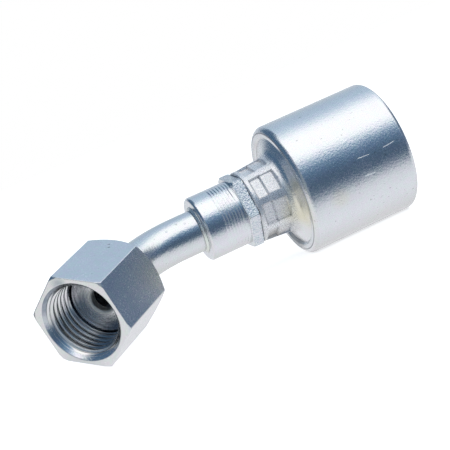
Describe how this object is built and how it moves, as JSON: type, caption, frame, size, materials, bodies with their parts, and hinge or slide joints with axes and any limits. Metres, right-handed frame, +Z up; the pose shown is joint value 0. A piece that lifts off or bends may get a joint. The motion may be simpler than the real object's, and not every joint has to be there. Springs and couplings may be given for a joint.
{
  "type": "crimp hose fitting",
  "caption": "Bent-tube crimp hose fitting: swivel hex nut over a flat face seal at one end, ribbed hose nipple inside a staked crimp shell at the other.",
  "frame": {"origin": "centre of the hose nipple's free end, on the hose axis", "axes": "+X along the hose axis, out towards the hose; +Z up with the fitting lying on its shell and its nut"},
  "size_m": [0.0958, 0.0464, 0.0328],
  "materials": {
    "nut_zinc": "bright zinc plate, clear blue passivation",
    "sleeve_zinc": "bright zinc plate over a faced seal surface",
    "tube_zinc": "bright zinc plate on drawn tube",
    "stem_zinc": "bright zinc plate over turned steel",
    "shell_zinc": "bright zinc plate, satin, fine turning marks",
    "braze": "smooth filler, zinc plated with the rest"
  },
  "bodies": {
    "fitting": {"hose_stem": "stem_zinc", "crimp_shell": "shell_zinc", "bent_tube": "tube_zinc", "seal_sleeve": "sleeve_zinc", "stem_braze": "braze", "sleeve_braze": "braze"},
    "nut": {"swivel_nut": "nut_zinc"}
  },
  "joints": [
    {"name": "nut_spin", "type": "hinge", "parent": "fitting", "child": "nut", "pos_m": [-0.08004, -0.01563, -0.00333], "axis": [-0.7071, -0.6916, -0.1475], "continuous": true}
  ]
}
